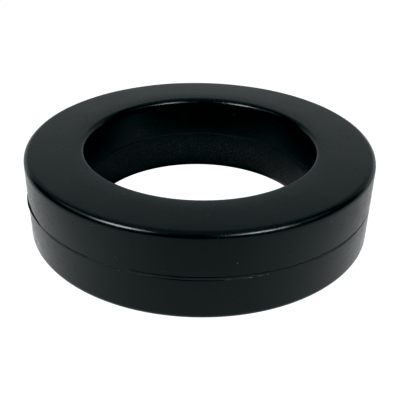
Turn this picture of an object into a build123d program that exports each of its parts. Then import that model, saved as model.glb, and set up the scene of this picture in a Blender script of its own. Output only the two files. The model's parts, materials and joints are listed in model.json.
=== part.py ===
from build123d import *
import os

# Toilet seal ring. This thick washer of black sponge rubber is squeezed between the outlet of a
# toilet and the flange on its drain pipe. Two identical moulded half rings are cemented back to back
# at mid-height. Each half has rounded rims on its outer face and a fine bevel on the edges that meet,
# and the cement that is squeezed out fills those bevels with a low bead, outside and in the bore.
# Millimetres, +Z up along the bore, origin at the centre of the bottom face.

# Driving dimensions
OUTER_DIAMETER = 140.0
BORE_SHARE = 0.66  # the bore's diameter as a share of the outer diameter
HEIGHT = 34.5
EDGE_RADIUS = 2.3  # rounded rims of the top and bottom faces
FILM_THICKNESS = 0.3  # cement between the two halves
BEVEL = 0.6  # 45 degree bevel on the edges that meet at the joint
GROOVE_DEPTH = 0.2  # the bead's edges lie this far below the walls, so a fine groove runs on each side
OUTER_BEAD_PROUD = 0.15  # the bead's crown stands this far outside the outer wall
BORE_BEAD_INSET = 0.05  # its crown in the bore stays this far short of the bore wall

# Worked out from them
OUTER_RADIUS = OUTER_DIAMETER / 2
BORE_RADIUS = OUTER_RADIUS * BORE_SHARE
RING_WIDTH = OUTER_RADIUS - BORE_RADIUS
JOINT_HEIGHT = HEIGHT / 2
FILM_HALF = FILM_THICKNESS / 2
BEAD_HALF = FILM_HALF + BEVEL - GROOVE_DEPTH


def half_ring():
    """One moulded half, standing on the cement film, with the joint's mid-plane at Z = 0."""
    height = JOINT_HEIGHT - FILM_HALF
    section = Pos(BORE_RADIUS, FILM_HALF) * Rectangle(RING_WIDTH, height, align=(Align.MIN, Align.MIN))
    section = fillet(section.vertices().group_by(Axis.Y)[-1], EDGE_RADIUS)
    section = chamfer(section.vertices().group_by(Axis.Y)[0], BEVEL)
    return revolve(Plane.XZ * section, Axis.Z)


def bead_crown(edge_radius, crown_radius):
    """The bulging end of the film's section, from the upper half's bevel to the lower half's."""
    return ThreePointArc((edge_radius, BEAD_HALF), (crown_radius, 0), (edge_radius, -BEAD_HALF))


def bond_film():
    """The cement between the halves, with the bead that fills the bevels, about Z = 0."""
    bore_edge = BORE_RADIUS + GROOVE_DEPTH
    bore_neck = BORE_RADIUS + BEVEL
    outer_neck = OUTER_RADIUS - BEVEL
    outer_edge = OUTER_RADIUS - GROOVE_DEPTH
    outline = [
        bead_crown(bore_edge, BORE_RADIUS + BORE_BEAD_INSET),
        bead_crown(outer_edge, OUTER_RADIUS + OUTER_BEAD_PROUD),
    ]
    for side in (1, -1):
        outline += Polyline(
            (bore_edge, side * BEAD_HALF),
            (bore_neck, side * FILM_HALF),
            (outer_neck, side * FILM_HALF),
            (outer_edge, side * BEAD_HALF),
        ).edges()
    return revolve(Plane.XZ * make_face(outline), Axis.Z)


def seal_ring():
    """Every piece in its place, by name."""
    joint = Pos(0, 0, JOINT_HEIGHT)
    pieces = {"bond_film": joint * bond_film()}
    for name, turn in {"upper_half_ring": 0, "lower_half_ring": 180}.items():
        pieces[name] = joint * Rot(turn, 0, 0) * half_ring()
    return pieces


os.makedirs("parts", exist_ok=True)
for name, piece in seal_ring().items():
    export_step(piece, f"parts/{name}.step")
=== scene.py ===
import json
import math
import random

import bmesh
import bpy
from mathutils import Matrix, Vector, noise


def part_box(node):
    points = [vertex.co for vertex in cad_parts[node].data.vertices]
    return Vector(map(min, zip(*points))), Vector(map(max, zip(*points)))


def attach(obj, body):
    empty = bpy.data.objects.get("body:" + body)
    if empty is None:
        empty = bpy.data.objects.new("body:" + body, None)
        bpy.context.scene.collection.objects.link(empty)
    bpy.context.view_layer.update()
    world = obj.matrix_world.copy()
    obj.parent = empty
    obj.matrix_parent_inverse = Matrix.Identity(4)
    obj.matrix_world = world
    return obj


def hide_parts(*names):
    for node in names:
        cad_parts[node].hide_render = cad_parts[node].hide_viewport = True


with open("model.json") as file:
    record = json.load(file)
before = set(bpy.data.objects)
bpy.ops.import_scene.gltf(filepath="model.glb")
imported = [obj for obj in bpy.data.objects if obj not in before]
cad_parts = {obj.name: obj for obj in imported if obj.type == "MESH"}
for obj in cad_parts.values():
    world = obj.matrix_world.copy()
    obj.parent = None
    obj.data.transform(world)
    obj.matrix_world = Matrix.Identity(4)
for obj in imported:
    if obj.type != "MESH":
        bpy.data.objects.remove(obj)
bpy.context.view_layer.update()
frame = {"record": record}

# A black sponge-rubber seal ring: two moulded half rings, cemented back to back. Metres, in the CAD
# frame: +Z up along the bore, origin at the centre of the bottom face. Angles go round from +X towards
# +Y, so the front of the ring, which faces the camera, is at 270 degrees.

MM = 0.001

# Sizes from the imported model
bore = next(mount for mount in frame["record"]["mounts"] if mount["name"] == "bore")
BORE_RADIUS = bore["dims"]["r_mm"] * MM
OUTER_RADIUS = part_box("upper_half_ring")[1][0]
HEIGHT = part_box("upper_half_ring")[1][2]
RIM_RADIUS = (HEIGHT - bore["dims"]["length_mm"] * MM) / 2
JOINT = HEIGHT / 2

# The bore's rims are slightly oval here, narrower and deeper than the CAD radius, because the photograph's
# highlight on the bore's back rim matches better so
BORE_RIM_WIDTH = 1.9 * MM
BORE_RIM_DEPTH = 3.1 * MM

# Half the thickness of the cement film, the same as in the CAD model
FILM_HALF = 0.15 * MM

# How the moulded skin differs from the CAD faces
CORNER_SOFTENING = 0.1 * MM  # radius where a wall turns into the joint's groove
WAVER = 0.05 * MM  # slow unevenness
WAVER_LENGTH = 16 * MM
DOME = 0.2 * MM  # how far the middle of the top face stands above its nominal height
BORE_FALL = 0.5 * MM  # how far the top face would fall from its middle to the bore, if it had no rims
OUTER_FALL = 0.1 * MM  # and from its middle to the outer wall
PINHOLE = 0.35 * MM

# Mesh steps: how many sections go round, and how many steps each stretch of a section has
RING_TURNS = 720
FILM_TURNS = 1440
RIM_STEPS = 14
CORNER_STEPS = 3
BORE_WALL_STEPS = 22
OUTER_WALL_STEPS = 24
END_FACE_STEPS = 30
FILM_FACE_STEPS = 3
OUTER_BEAD_STEPS = 14
BORE_BEAD_STEPS = 10

# How the joint looks round the outside: angle, half width of the bead, depth of the groove above it and
# below it, and how far its crown stands out from the wall, in millimetres, blended in between.
OUTER_JOINT = (
    (20, 0.40, 0.20, 0.20, 0.05),
    (80, 0.55, 0.25, 0.25, 0.10),
    (140, 0.35, 0.20, 0.15, 0.05),
    (188, 0.35, 0.05, 0.20, 0.15),
    (200, 0.35, 0.10, 0.50, 0.50),
    (210, 0.30, 0.10, 0.35, 0.25),
    (215, 0.25, 0.06, 0.08, 0.00),
    (223, 0.35, 0.20, 0.12, 0.00),
    (233, 0.28, 0.30, 0.04, 0.00),
    (243, 0.40, 0.14, 0.03, -0.04),
    (249, 0.45, 0.10, 0.03, -0.03),
    (252, 0.48, 0.32, 0.04, 0.00),
    (257, 0.48, 0.38, 0.12, 0.00),
    (262, 0.48, 0.40, 0.28, 0.02),
    (277, 0.50, 0.40, 0.26, 0.04),
    (283, 0.42, 0.36, 0.03, 0.00),
    (300, 0.35, 0.24, 0.03, 0.02),
    (320, 0.33, 0.18, 0.14, 0.02),
    (340, 0.30, 0.06, 0.06, 0.00),
)
BORE_JOINT = (
    (30, 0.40, 0.25, 0.20, -0.05),
    (70, 0.20, 0.10, 0.15, -0.10),
    (120, 0.20, 0.10, 0.12, -0.10),
    (160, 0.30, 0.16, 0.12, -0.05),
    (290, 0.35, 0.20, 0.20, 0.00),
)

# How ragged the joint is: the share by which each measure varies round the ring, and the waves' length
RAGGED_WIDTH = (0.10, 5 * MM)
RAGGED_UPPER = (0.35, 3 * MM)
RAGGED_LOWER = (0.45, 2 * MM)
RAGGED_CROWN = (0.05 * MM, 1.5 * MM)  # a length, not a share

# Flash that tore when the excess cement was trimmed, along the lower groove: from and to, in degrees,
# and its thickness
TORN_FLASH = (
    (277.8, 279.2, 0.14 * MM),
    (280.3, 282.0, 0.12 * MM),
    (282.5, 285.4, 0.20 * MM),
    (286.1, 288.6, 0.22 * MM),
    (289.0, 290.0, 0.14 * MM),
)
TORN_STEP = math.radians(0.15)
TORN_WANDER = 0.06 * MM

# The curl of skin that a nick lifted, left of the front. Each end is an angle and a height.
NICK_START = (math.radians(246.4), JOINT + 4.9 * MM)
NICK_END = (math.radians(247.4), JOINT + 4.1 * MM)
NICK_THICKNESS = 0.20 * MM

# Camera, where the photograph was taken from
CAMERA_PLACE = Vector((0.3, -246.8, 148.9)) * MM
CAMERA_TILT = math.radians(29.89)
CAMERA_ROLL = math.radians(0.913)
CAMERA_LENS = 60.08

# Colours of the ring
SKIN_DARK = (0.0008, 0.0018, 0.0018, 1)
SKIN_LIGHT = (0.0016, 0.0028, 0.0028, 1)
# Talc low in the bore: partly crumbly dust, partly painted light that brightens the bore's lower wall
TALC_AND_PAINTED_LIGHT = (0.032, 0.029, 0.031, 1)
DUST = (0.10, 0.105, 0.105, 1)
CEMENT_CLEAN = (0.004, 0.006, 0.006, 1)
CEMENT_GRIMY = (0.014, 0.016, 0.016, 1)
TORN_DARK = (0.06, 0.07, 0.07, 1)
TORN_PALE = (0.26, 0.28, 0.28, 1)
RUBBER_SHINE = 0.45

# Colours of the stage. The floor's are those that the ring reflects, and the camera doesn't see them.
BLACK = (0.0, 0.0, 0.0, 1)
LAMP_WHITE = (0.98, 1.0, 1.02, 1)
FLOOR_OUTSIDE = (0.75, 0.75, 0.75, 1)
# Painted light on the floor in the bore: darker at the left, lighter at the right, as if lit from the right
FLOOR_IN_BORE_SHADED_LEFT = (0.62, 0.53, 0.55, 1)
FLOOR_IN_BORE_LIT_RIGHT = (0.95, 0.84, 0.87, 1)
# Painted shade on the floor at the foot of the bore's back wall
FLOOR_PAINTED_SHADE_AT_BACK_WALL = (0.12, 0.10, 0.11, 1)
DARK_ROOM = (0.02, 0.02, 0.02, 1)
WHITE_ROOM = (1, 1, 1, 1)

# The cards that light the ring. Each has its azimuth and elevation from the ring, in degrees, its distance,
# its width and height in metres, and its radiance in the middle.
SOFTBOXES = (
    ("softbox_left", -131, 40, 0.306, 0.22, 0.15, 21.0),
    ("softbox_right", 142, 37, 0.320, 0.26, 0.14, 18.0),
    ("side_left", -100, 40, 0.350, 0.30, 0.18, 2.0),
    ("side_right", 110, 38, 0.350, 0.30, 0.18, 1.2),
)
SUN_AZIMUTH = -170
SUN_ELEVATION = 29
SUN_STRENGTH = 6.6
SUN_SPREAD = math.radians(10)
FLOOR_GLOW = 1.05

# How the photograph was developed: its mid-tones are dark, and its blacks are crushed, most in the red
PHOTO_GAMMA = 0.7
PHOTO_BLACK = (0.013, 0.004, 0.004)

# The sockets of a Mix node for its two colours and for the colour that it gives: their names aren't unique
MIX_FIRST = 6
MIX_SECOND = 7
MIX_RESULT = 2

# Everything random follows from these two seeds. Without its own, noise_vector starts from the clock.
random.seed(7)
noise.seed_set(7)


def make_camera():
    """The camera looks along +Y and down, with a slight roll."""
    data = bpy.data.cameras.new("camera")
    data.lens = CAMERA_LENS
    data.clip_start = 0.01
    camera = bpy.data.objects.new("camera", data)
    aim = Matrix.Rotation(math.pi / 2 - CAMERA_TILT, 4, "X") @ Matrix.Rotation(CAMERA_ROLL, 4, "Z")
    camera.matrix_world = Matrix.Translation(CAMERA_PLACE) @ aim
    bpy.context.scene.collection.objects.link(camera)
    bpy.context.scene.camera = camera


# ---------------------------------------------------------------- shapes


def arc(centre, width, depth, start, end, steps):
    """Points on an arc in the (radius, height) plane, both ends included. Its reach along the radius is the
    width and its reach in height is the depth. The angles are in degrees."""
    turns = [math.radians(start + (end - start) * i / steps) for i in range(steps + 1)]
    return [(centre[0] + width * math.cos(t), centre[1] + depth * math.sin(t)) for t in turns]


def line(start, end, steps):
    """Points between two places, both ends left out."""
    return [tuple(a + (b - a) * i / steps for a, b in zip(start, end)) for i in range(1, steps)]


def on_ring(radius, angle, height):
    """A place at this radius, angle and height."""
    return Vector((radius * math.cos(angle), radius * math.sin(angle), height))


def ripple(angle, length, row):
    """Noise from -1 to 1 round the ring, closed on itself, with waves of about this length. Each row is its
    own noise."""
    reach = OUTER_RADIUS / length
    return noise.noise(Vector((reach * math.cos(angle), reach * math.sin(angle), 10 * row)))


def joint_look(stretches, angle):
    """The joint's half width, upper groove, lower groove and crown at this angle, in metres."""
    degrees = math.degrees(angle) % 360
    following = next((i for i, stretch in enumerate(stretches) if stretch[0] > degrees), 0)
    before, after = stretches[following - 1], stretches[following]
    share = (degrees - before[0]) % 360 / ((after[0] - before[0]) % 360)
    eased = share * share * (3 - 2 * share)
    look = [(a + (b - a) * eased) * MM for a, b in zip(before[1:], after[1:])]
    half_width = look[0] * (1 + RAGGED_WIDTH[0] * ripple(angle, RAGGED_WIDTH[1], 1))
    upper = look[1] * (1 + RAGGED_UPPER[0] * ripple(angle, RAGGED_UPPER[1], 2))
    lower = look[2] * (1 + RAGGED_LOWER[0] * ripple(angle, RAGGED_LOWER[1], 3))
    crown = look[3] + RAGGED_CROWN[0] * ripple(angle, RAGGED_CROWN[1], 4)
    return half_width, upper, lower, crown


def wavered(place):
    """A place on the skin, moved by the slow unevenness of the moulding. The bottom face stays flat."""
    drift = noise.noise_vector(place / WAVER_LENGTH) * WAVER
    drift.z *= place.z / HEIGHT
    return place + drift


def new_piece(name, mesh):
    """Makes a smooth-shaded object from a bmesh."""
    bmesh.ops.recalc_face_normals(mesh, faces=mesh.faces)
    data = bpy.data.meshes.new(name)
    mesh.to_mesh(data)
    mesh.free()
    data.polygons.foreach_set("use_smooth", [True] * len(data.polygons))
    piece = bpy.data.objects.new(name, data)
    bpy.context.scene.collection.objects.link(piece)
    return piece


def swept_ring(section_at, turns):
    """A closed ring in a bmesh. section_at(angle) gives its section there as (radius, height) points."""
    mesh = bmesh.new()
    rows = []
    for i in range(turns):
        angle = 2 * math.pi * i / turns
        rows.append([mesh.verts.new(wavered(on_ring(r, angle, z))) for r, z in section_at(angle)])
    for row, following in zip(rows, rows[1:] + rows[:1]):
        for i in range(len(row)):
            j = (i + 1) % len(row)
            mesh.faces.new((row[i], row[j], following[j], following[i]))
    return mesh


def domed(point):
    """A point of the upper half's section, moved so that the top face is very slightly domed. The move
    fades out down the rims."""
    radius, height = point
    middle = (BORE_RADIUS + OUTER_RADIUS) / 2
    half = (OUTER_RADIUS - BORE_RADIUS) / 2
    rim_foot = HEIGHT - JOINT - RIM_RADIUS
    if height < rim_foot:
        return point
    share = min(1.0, (height - rim_foot) / RIM_RADIUS)
    fall = BORE_FALL if radius < middle else OUTER_FALL
    return radius, height + share * (DOME - fall * (abs(radius - middle) / half) ** 3)


def half_ring_section(bore_shoulder, outer_shoulder):
    """A half's section, once round from the bore's joint edge. Heights are above the joint. A shoulder is
    the height at which the wall turns in at 45 degrees, down to the film."""
    soft = CORNER_SOFTENING
    top = HEIGHT - JOINT
    bore_rim = (BORE_RADIUS + BORE_RIM_WIDTH, top - BORE_RIM_DEPTH)
    outer_rim = (OUTER_RADIUS - RIM_RADIUS, top - RIM_RADIUS)
    corner = soft * math.tan(math.radians(22.5))
    bore_corner = (BORE_RADIUS + soft, bore_shoulder + corner)
    outer_corner = (OUTER_RADIUS - soft, outer_shoulder + corner)
    points = arc(bore_corner, soft, soft, 225, 180, CORNER_STEPS)
    points += line(points[-1], (BORE_RADIUS, bore_rim[1]), BORE_WALL_STEPS)
    points += arc(bore_rim, BORE_RIM_WIDTH, BORE_RIM_DEPTH, 180, 90, RIM_STEPS)
    points += line(points[-1], (outer_rim[0], top), END_FACE_STEPS)
    points += arc(outer_rim, RIM_RADIUS, RIM_RADIUS, 90, 0, RIM_STEPS)
    points += line(points[-1], (OUTER_RADIUS, outer_corner[1]), OUTER_WALL_STEPS)
    points += arc(outer_corner, soft, soft, 0, -45, CORNER_STEPS)
    outer_neck = (OUTER_RADIUS - outer_shoulder + FILM_HALF, FILM_HALF)
    bore_neck = (BORE_RADIUS + bore_shoulder - FILM_HALF, FILM_HALF)
    return points + [outer_neck] + line(outer_neck, bore_neck, FILM_FACE_STEPS) + [bore_neck]


def pinholes(mesh, inside, count, depth):
    """Sinks small square pits into faces picked at random where inside(place) is true. A pit is about
    PINHOLE wide, but leaves a margin in its face, and it narrows a little as it goes down."""
    faces = [face for face in mesh.faces if inside(face.calc_center_median())]
    for face in random.sample(faces, count):
        if face.is_valid and len(face.verts) == 4:
            size = min(edge.calc_length() for edge in face.edges)
            margin = (size - min(PINHOLE * random.uniform(0.6, 1.1), 0.9 * size)) / 2
            bmesh.ops.inset_individual(mesh, faces=[face], thickness=margin, depth=0)
            bmesh.ops.inset_individual(mesh, faces=[face], thickness=margin * 0.3, depth=-depth)


def groove_reach(look, side):
    """How far the bead and its groove reach from the joint, above it (side 1) or below it (side -1)."""
    half_width, upper, lower, _ = look
    return half_width + (upper if side == 1 else lower)


def half_ring(name, side):
    """One moulded half: side is 1 above the joint and -1 below it."""

    def section_at(angle):
        outer_shoulder = groove_reach(joint_look(OUTER_JOINT, angle), side)
        bore_shoulder = groove_reach(joint_look(BORE_JOINT, angle), side)
        section = half_ring_section(bore_shoulder, outer_shoulder)
        if side == 1:
            section = [domed(point) for point in section]
        return [(radius, JOINT + side * height) for radius, height in section]

    def off_joint(place):
        return abs(place.z - JOINT) > 2 * MM

    def on_outer_wall(place):
        return place.xy.length > OUTER_RADIUS - 0.2 * MM and off_joint(place)

    def on_bore_wall(place):
        return place.xy.length < BORE_RADIUS + 0.2 * MM and off_joint(place)

    def on_end_face(place):
        return abs(place.z - JOINT) > JOINT - 0.2 * MM

    mesh = swept_ring(section_at, RING_TURNS)
    bmesh.ops.recalc_face_normals(mesh, faces=mesh.faces)
    pinholes(mesh, on_outer_wall, count=60, depth=0.1 * MM)
    pinholes(mesh, on_bore_wall, count=60, depth=0.2 * MM)
    pinholes(mesh, on_end_face, count=25, depth=0.15 * MM)
    return new_piece(name, mesh)


def bead(wall, outward, look, steps):
    """The bead from its lower edge to its upper edge, as (radius, height) points. It rises steeply out of
    the grooves to a blunt crown. Outward is 1 on the outer wall and -1 in the bore."""
    half_width, upper, lower, crown = look
    points = []
    for i in range(steps + 1):
        turn = math.pi * (i / steps - 0.5)
        groove = upper if turn > 0 else lower
        rise = (crown + groove) * max(0.0, math.cos(turn)) ** 0.4 - groove
        points.append((wall + outward * rise, JOINT + half_width * math.sin(turn)))
    return points


def cement_film(name):
    """The cement between the halves, and the bead that was squeezed out on both walls."""

    def neck(wall, outward, look, side):
        """Where the thin film between the halves meets the bead."""
        depth = groove_reach(look, side) - FILM_HALF
        return (wall - outward * depth, JOINT + side * FILM_HALF)

    def edge(wall, outward, look, steps):
        """The film's edge at one wall, from below the bead to above it."""
        foot = neck(wall, outward, look, -1)
        head = neck(wall, outward, look, 1)
        return [foot] + bead(wall, outward, look, steps) + [head]

    def section_at(angle):
        outer = edge(OUTER_RADIUS, 1, joint_look(OUTER_JOINT, angle), OUTER_BEAD_STEPS)
        inner = edge(BORE_RADIUS, -1, joint_look(BORE_JOINT, angle), BORE_BEAD_STEPS)
        return outer + inner[::-1]

    return new_piece(name, swept_ring(section_at, FILM_TURNS))


def sliver(mesh, path, thickness):
    """Adds a ragged crumb along a path, thickest in the middle, with closed ends."""
    sides = 7
    rows = []
    for i, place in enumerate(path):
        ahead = (path[min(i + 1, len(path) - 1)] - path[max(i - 1, 0)]).normalized()
        across = ahead.cross(Vector((0, 0, 1))).normalized()
        up = across.cross(ahead)
        swell = math.sin(math.pi * (i + 0.5) / len(path)) ** 0.5 * thickness / 2
        row = []
        for k in range(sides):
            turn = 2 * math.pi * k / sides
            reach = swell * random.uniform(0.6, 1.25)
            row.append(mesh.verts.new(place + reach * (across * math.cos(turn) + up * math.sin(turn))))
        rows.append(row)
    for row, following in zip(rows, rows[1:]):
        for k in range(sides):
            mesh.faces.new((row[k], row[(k + 1) % sides], following[(k + 1) % sides], following[k]))
    mesh.faces.new(rows[0])
    mesh.faces.new(rows[-1])


def torn_flash(name):
    """Ragged dashes of torn cement along the lower groove, right of the front."""
    mesh = bmesh.new()
    for start, end, thickness in TORN_FLASH:
        path = []
        angle = math.radians(start)
        while angle < math.radians(end):
            half_width, _, lower, _ = joint_look(OUTER_JOINT, angle)
            height = JOINT - half_width - lower / 2 + random.uniform(-TORN_WANDER, TORN_WANDER)
            path.append(wavered(on_ring(OUTER_RADIUS + 0.02 * MM, angle, height)))
            angle += TORN_STEP
        sliver(mesh, path, thickness)
    return new_piece(name, mesh)


def nick(name):
    """A small curl of skin lifted by a slanting nick in the upper half, left of the front."""
    start = on_ring(OUTER_RADIUS, *NICK_START)
    end = on_ring(OUTER_RADIUS, *NICK_END)
    steps = 8
    mesh = bmesh.new()
    sliver(mesh, [wavered(start.lerp(end, i / steps)) for i in range(steps + 1)], NICK_THICKNESS)
    return new_piece(name, mesh)


# ---------------------------------------------------------------- materials


class Material:
    """A procedural material: adds nodes and links them to each other and to its shader. Places are in the
    object's own frame, in metres. The ring's pieces aren't moved, so theirs is the CAD frame."""

    def __init__(self, name):
        self.data = bpy.data.materials.new(name)
        self.data.use_nodes = True
        self.nodes = self.data.node_tree.nodes
        self.shader = self.nodes["Principled BSDF"]
        self.place = self.nodes.new("ShaderNodeTexCoord").outputs["Object"]

    def put(self, socket, value):
        """Links a socket to another one, or sets it to a value."""
        if isinstance(value, bpy.types.NodeSocket):
            self.data.node_tree.links.new(value, socket)
        else:
            socket.default_value = value

    def node(self, kind, inputs, output=0, **settings):
        """A new node with these inputs, by name or number, and these settings. Gives one output."""
        node = self.nodes.new(kind)
        for key, value in settings.items():
            setattr(node, key, value)
        for key, value in inputs.items():
            self.put(node.inputs[key], value)
        return node.outputs[output]

    def math(self, operation, first, second=0.0):
        """One step of arithmetic on one or two values, each a number or a socket."""
        return self.node("ShaderNodeMath", {0: first, 1: second}, operation=operation)

    def sum_of(self, first, *products):
        """The first value plus each of these products of two values."""
        total = first
        for left, right in products:
            total = self.math("ADD", total, self.math("MULTIPLY", left, right))
        return total

    def noise(self, length, detail=2.0, place=None):
        """Noise with lumps of this length in metres."""
        inputs = {"Vector": place or self.place, "Scale": 1 / length, "Detail": detail}
        return self.node("ShaderNodeTexNoise", inputs)

    def remap(self, value, low, high, to_low, to_high):
        """A value taken smoothly from one range to another, and kept inside it."""
        inputs = {"Value": value, "From Min": low, "From Max": high, "To Min": to_low, "To Max": to_high}
        return self.node("ShaderNodeMapRange", inputs, interpolation_type="SMOOTHSTEP")

    def mix(self, share, first, second):
        """A colour between two others."""
        inputs = {"Factor": share, MIX_FIRST: first, MIX_SECOND: second}
        return self.node("ShaderNodeMix", inputs, output=MIX_RESULT, data_type="RGBA")

    def specks(self, spacing, size, share):
        """1 inside small round specks, one in this share of the cells that are this far apart, else 0."""
        cells = self.nodes.new("ShaderNodeTexVoronoi")
        self.put(cells.inputs["Vector"], self.place)
        cells.inputs["Scale"].default_value = 1 / spacing
        cell_number = self.node("ShaderNodeSeparateColor", {0: cells.outputs["Color"]})
        chosen = self.math("LESS_THAN", cell_number, share)
        near = self.remap(cells.outputs["Distance"], 0.5 * size / spacing, size / spacing, 1.0, 0.0)
        return self.math("MULTIPLY", chosen, near)

    def part(self, axis):
        """The place's X, Y or Z."""
        return self.node("ShaderNodeSeparateXYZ", {0: self.place}, output=axis)

    def round_place(self, stretch):
        """The place unrolled round the axis, with the unrolled length scaled. The seam is at the back."""
        front = self.math("MULTIPLY", self.part("Y"), -1.0)
        turn = self.math("ARCTAN2", self.part("X"), front)
        along = self.math("MULTIPLY", turn, OUTER_RADIUS * stretch)
        return self.node("ShaderNodeCombineXYZ", {0: along, 1: self.radius(), 2: self.part("Z")})

    def radius(self):
        """Distance from the ring's axis."""
        flat = self.node("ShaderNodeVectorMath", {0: self.place, 1: (1, 1, 0)}, operation="MULTIPLY")
        return self.node("ShaderNodeVectorMath", {0: flat}, output="Value", operation="LENGTH")

    def bump(self, height, depth):
        """Relief of this depth in metres, on the shader's normal."""
        inputs = {"Height": height, "Distance": depth, "Strength": 1.0}
        self.put(self.shader.inputs["Normal"], self.node("ShaderNodeBump", inputs))


def masks_in_bore(skin):
    """1 on the bore's wall between its rims, and 1 on its lower part, with soft edges."""
    radius = skin.radius()
    height = skin.part("Z")
    off_joint = skin.math("ABSOLUTE", skin.math("SUBTRACT", height, JOINT))
    wall_half = JOINT - RIM_RADIUS
    inward = skin.remap(radius, BORE_RADIUS + 1 * MM, BORE_RADIUS + 2 * MM, 1.0, 0.0)
    off_rims = skin.remap(off_joint, wall_half - 0.5 * MM, wall_half + 0.5 * MM, 1.0, 0.0)
    in_bore = skin.math("MULTIPLY", inward, off_rims)
    low = skin.remap(height, 11 * MM, 21 * MM, 1.0, 0.0)
    return in_bore, skin.math("MULTIPLY", in_bore, low)


def sponge_rubber_skin():
    """The satin moulded skin: fine grain, faint streaks round the ring, dust and pores. The bore is duller,
    and low down it has pale talc crumbs whose colour also paints light onto the bore's lower wall."""
    skin = Material("sponge_rubber_skin")
    on_top = skin.remap(skin.part("Z"), HEIGHT - 0.4 * MM, HEIGHT - 0.1 * MM, 0.0, 1.0)
    in_bore, low_in_bore = masks_in_bore(skin)
    off_bore = skin.math("SUBTRACT", 1.0, in_bore)
    mottle = skin.noise(9 * MM, detail=3.0)
    streaks = skin.noise(0.8 * MM, detail=2.0, place=skin.round_place(0.25))
    grain = skin.noise(0.45 * MM, detail=3.0)
    crumbs = skin.noise(0.7 * MM, detail=4.0)
    pores = skin.specks(1.6 * MM, 0.25 * MM, 0.25)
    dust = skin.math("MULTIPLY", off_bore, skin.specks(3.0 * MM, 0.28 * MM, 0.30))
    # Pale talc crumbs low in the bore, whose colour also paints light onto the lower wall
    talc_and_painted_light = skin.math("MULTIPLY", low_in_bore, skin.remap(crumbs, 0.42, 0.68, 0.0, 1.0))

    colour = skin.mix(mottle, SKIN_DARK, SKIN_LIGHT)
    colour = skin.mix(talc_and_painted_light, colour, TALC_AND_PAINTED_LIGHT)
    skin.put(skin.shader.inputs["Base Color"], skin.mix(dust, colour, DUST))

    satin = skin.remap(mottle, 0.3, 0.7, 0.20, 0.26)
    streaked = skin.math("ADD", satin, skin.remap(streaks, 0.35, 0.65, -0.03, 0.03))
    roughness = skin.sum_of(streaked, (in_bore, 0.07), (low_in_bore, 0.15), (dust, 0.5))
    skin.put(skin.shader.inputs["Roughness"], roughness)

    pitted = skin.math("SUBTRACT", grain, skin.math("MULTIPLY", pores, 3.0))
    streak_depth = skin.sum_of(2.0, (on_top, 1.5))
    talc_lumps = skin.math("MULTIPLY", crumbs, 6.0)
    skin.bump(skin.sum_of(pitted, (streaks, streak_depth), (low_in_bore, talc_lumps)), 0.006 * MM)

    skin.shader.inputs["Specular IOR Level"].default_value = RUBBER_SHINE
    return skin.data


def rubber_cement():
    """Set rubber cement: a little greyer and lumpier than the skin."""
    cement = Material("rubber_cement")
    lumps = cement.noise(0.8 * MM, detail=3.0)
    grime = cement.noise(3 * MM, detail=2.0)
    cement.put(cement.shader.inputs["Base Color"], cement.mix(grime, CEMENT_CLEAN, CEMENT_GRIMY))
    cement.put(cement.shader.inputs["Roughness"], cement.remap(lumps, 0.3, 0.7, 0.34, 0.55))
    cement.bump(lumps, 0.02 * MM)
    cement.shader.inputs["Specular IOR Level"].default_value = RUBBER_SHINE
    return cement.data


def torn_cement():
    """Pale, rough and crumbly cement and rubber, for the torn flash and the nick."""
    torn = Material("torn_cement")
    crumbs = torn.noise(0.25 * MM, detail=3.0)
    patches = torn.noise(1.2 * MM, detail=2.0)
    torn.put(torn.shader.inputs["Base Color"], torn.mix(patches, TORN_DARK, TORN_PALE))
    torn.put(torn.shader.inputs["Roughness"], torn.remap(crumbs, 0.3, 0.7, 0.6, 0.9))
    torn.bump(crumbs, 0.05 * MM)
    return torn.data


# ---------------------------------------------------------------- stage


def glowing(name, radiance_at, colour_at=None):
    """A matte stage material. Radiance_at(material) gives its glow and colour_at(material) its colour, each
    as a value or a socket. Without a colour it is black."""
    material = Material(name)
    colour = colour_at(material) if colour_at else BLACK
    material.put(material.shader.inputs["Base Color"], colour)
    material.shader.inputs["Roughness"].default_value = 1.0
    material.shader.inputs["Specular IOR Level"].default_value = 0.0
    material.shader.inputs["Emission Color"].default_value = LAMP_WHITE
    material.put(material.shader.inputs["Emission Strength"], radiance_at(material))
    return material.data


def plane(name, half_x, half_y, material):
    """A flat rectangle of the stage, facing +Z."""
    data = bpy.data.meshes.new(name)
    corners = [(-half_x, -half_y, 0), (half_x, -half_y, 0), (half_x, half_y, 0), (-half_x, half_y, 0)]
    data.from_pydata(corners, [], [(0, 1, 2, 3)])
    data.materials.append(material)
    card = bpy.data.objects.new(name, data)
    bpy.context.scene.collection.objects.link(card)
    return card


def aimed(place, target):
    """A matrix at place whose +Z looks at target."""
    turn = (Vector(target) - Vector(place)).to_track_quat("Z", "Y").to_matrix().to_4x4()
    return Matrix.Translation(place) @ turn


def seen_from_ring(azimuth, elevation, distance):
    """A place in this direction from the ring, with the azimuth from straight behind it to the right."""
    turn, lift = math.radians(azimuth), math.radians(elevation)
    level = distance * math.cos(lift)
    return Vector((level * math.sin(turn), level * math.cos(turn), JOINT + distance * math.sin(lift)))


def lights_only(light, name, things):
    """Keeps a lamp's or a glowing card's light to these things."""
    receivers = bpy.data.collections.new(name)
    for thing in things:
        receivers.objects.link(thing)
    light.light_linking.receiver_collection = receivers


def softbox(name, place, width, height, radiance, pieces):
    """A glowing card that faces the ring, brightest in the middle. It lights the ring's pieces only."""

    def radiance_at(material):
        """An oval glow that fades to nothing at the middle of each edge."""
        spread = (2 / width, 2 / height, 0)
        shares = material.node("ShaderNodeVectorMath", {0: material.place, 1: spread}, operation="MULTIPLY")
        off = material.node("ShaderNodeVectorMath", {0: shares}, output="Value", operation="LENGTH")
        return material.remap(off, 0.1, 1.0, radiance, 0.0)

    card = plane(name, width / 2, height / 2, glowing(name, radiance_at))
    card.matrix_world = aimed(place, (0, 0, JOINT))
    card.visible_camera = False
    card.visible_shadow = False
    lights_only(card, "lit_by_" + name, pieces)


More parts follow.
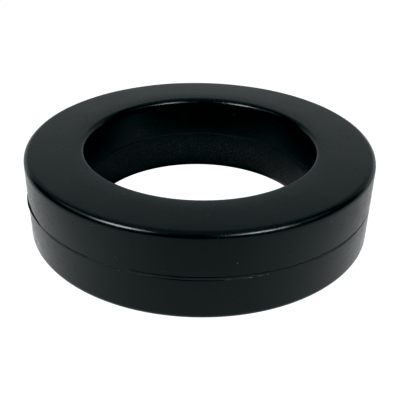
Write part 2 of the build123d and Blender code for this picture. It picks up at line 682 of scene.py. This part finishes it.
def backdrop(name, distance, shift, width, height):
    """A wide card that stands behind the ring, a little to the right, and is brightest near the floor."""

    def radiance_at(material):
        """The card's own Y goes up it, from its middle. It darkens in two steps."""
        up = material.part("Y")
        foot = -height / 2
        lower_step = material.remap(up, foot + 0.13, foot + 0.32, 1.15, 0.80)
        upper_step = material.remap(up, foot + 0.52, foot + 0.66, 0.0, -0.28)
        return material.math("ADD", lower_step, upper_step)

    card = plane(name, width / 2, height / 2, glowing(name, radiance_at))
    stand = Matrix.Rotation(math.pi / 2, 4, "X")
    card.matrix_world = Matrix.Translation((shift, distance, height / 2)) @ stand
    card.visible_camera = False
    card.visible_diffuse = False


def ceiling(name, size, height, radiance):
    """A dim card overhead."""
    card = plane(name, size / 2, size / 2, glowing(name, lambda material: radiance))
    card.location = (0, 0, height)
    card.visible_camera = False
    card.visible_diffuse = False


def front_sun(things):
    """Light from the front on the floors only. The front of the bore's floor lies in the ring's shadow."""
    sun = bpy.data.lights.new("front_sun", "SUN")
    sun.energy = SUN_STRENGTH
    sun.angle = SUN_SPREAD
    lamp = bpy.data.objects.new("front_sun", sun)
    bpy.context.scene.collection.objects.link(lamp)
    lamp.matrix_world = aimed((0, 0, 0), seen_from_ring(SUN_AZIMUTH, SUN_ELEVATION, 1))
    lights_only(lamp, "lit_by_front_sun", things)


def reflected_colour(floor):
    """The floor's colour for the ring's reflections. In the bore it is a warm grey with painted light and
    shade: lighter at the right, as if lit from there, and painted shade at the foot of the back wall.
    Outside it is a plain grey."""
    # Painted light: the floor in the bore gets lighter towards the right, as if lit from there
    painted_light_rightwards = floor.remap(floor.part("X"), -35 * MM, 35 * MM, 0.0, 1.0)
    in_bore = floor.mix(painted_light_rightwards, FLOOR_IN_BORE_SHADED_LEFT, FLOOR_IN_BORE_LIT_RIGHT)
    # Painted shade: the floor darkens towards the foot of the bore's back wall
    painted_shade_at_back_wall = floor.remap(floor.part("Y"), 28 * MM, 37 * MM, 0.0, 1.0)
    in_bore = floor.mix(painted_shade_at_back_wall, in_bore, FLOOR_PAINTED_SHADE_AT_BACK_WALL)
    outside = floor.remap(floor.radius(), 48 * MM, 60 * MM, 0.0, 1.0)
    return floor.mix(outside, in_bore, FLOOR_OUTSIDE)


def painted_light_pools(floor):
    """Painted pools of light: glow on the floor beside the ring and a little in front of it, standing in
    for light from the sides of the room.
    """
    left = floor.remap(floor.part("X"), -75 * MM, -10 * MM, 0.32, 0.0)
    right = floor.remap(floor.part("X"), 10 * MM, 75 * MM, 0.0, 0.24)
    fading_behind = floor.remap(floor.part("Y"), -20 * MM, 50 * MM, 1.0, 0.25)
    beside = floor.math("MULTIPLY", fading_behind, floor.math("ADD", left, right))
    in_front = floor.remap(floor.part("Y"), -45 * MM, -10 * MM, 1.0, 0.0)
    close = floor.remap(floor.radius(), 75 * MM, 140 * MM, 0.24, 0.03)
    close_in_front = floor.math("MULTIPLY", in_front, close)
    outside = floor.remap(floor.radius(), 50 * MM, 65 * MM, 0.0, 1.0)
    return floor.math("MULTIPLY", outside, floor.math("ADD", beside, close_in_front))


def floors():
    """The floor that the camera sees, and one just under it that the ring's reflections see instead."""
    half_size = 4
    floor = plane("floor", half_size, half_size, glowing("floor", lambda material: FLOOR_GLOW))
    floor.location.z = -0.02 * MM
    floor.visible_glossy = False
    floor.visible_diffuse = False
    floor.visible_shadow = False
    # The reflected floor glows with painted pools of light beside the ring
    bounce = plane("bounce_floor", half_size, half_size, glowing("bounce_floor", painted_light_pools, reflected_colour))
    bounce.location.z = -0.04 * MM
    bounce.visible_camera = False
    return floor, bounce


def surroundings():
    """A white surround for the camera, and a dark one for everything else."""
    world = bpy.data.worlds.new("world")
    bpy.context.scene.world = world
    world.use_nodes = True
    tree = world.node_tree
    path = tree.nodes.new("ShaderNodeLightPath")
    pick = tree.nodes.new("ShaderNodeMix")
    pick.data_type = "RGBA"
    pick.inputs[MIX_FIRST].default_value = DARK_ROOM
    pick.inputs[MIX_SECOND].default_value = WHITE_ROOM
    tree.links.new(path.outputs["Is Camera Ray"], pick.inputs["Factor"])
    tree.links.new(pick.outputs[MIX_RESULT], tree.nodes["Background"].inputs["Color"])


def develop():
    """Gives the picture the photograph's contrast."""
    view = bpy.context.scene.view_settings
    view.view_transform = "Standard"
    view.gamma = PHOTO_GAMMA
    view.use_curve_mapping = True
    view.curve_mapping.black_level = PHOTO_BLACK
    view.curve_mapping.update()


def make_stage(pieces):
    """Everything round the ring: the lights, the cards, the floors and the way the picture is developed."""
    for name, azimuth, elevation, distance, width, height, radiance in SOFTBOXES:
        place = seen_from_ring(azimuth, elevation, distance)
        softbox(name, place, width, height, radiance, pieces)
    backdrop("backdrop", distance=0.8, shift=0.2, width=3.0, height=1.4)
    ceiling("ceiling", size=1.5, height=1.4, radiance=0.50)
    front_sun(floors())
    surroundings()
    develop()


# ---------------------------------------------------------------- the ring


def declare(piece, material, stands_for=None):
    """Gives a piece its material and its body, and hides the CAD node that it stands for, if any."""
    piece.data.materials.append(material)
    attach(piece, "root")
    if stands_for:
        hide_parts(stands_for)
    return piece


make_camera()

pieces = []
skin = sponge_rubber_skin()
for name, node, side in (("upper_ring", "upper_half_ring", 1), ("lower_ring", "lower_half_ring", -1)):
    ring = half_ring(name, side)
    declare(ring, skin, node)
    pieces.append(ring)
pieces.append(declare(cement_film("cement_film"), rubber_cement(), "bond_film"))
torn = torn_cement()
pieces.append(declare(torn_flash("torn_flash"), torn))
pieces.append(declare(nick("nick"), torn))
make_stage(pieces)
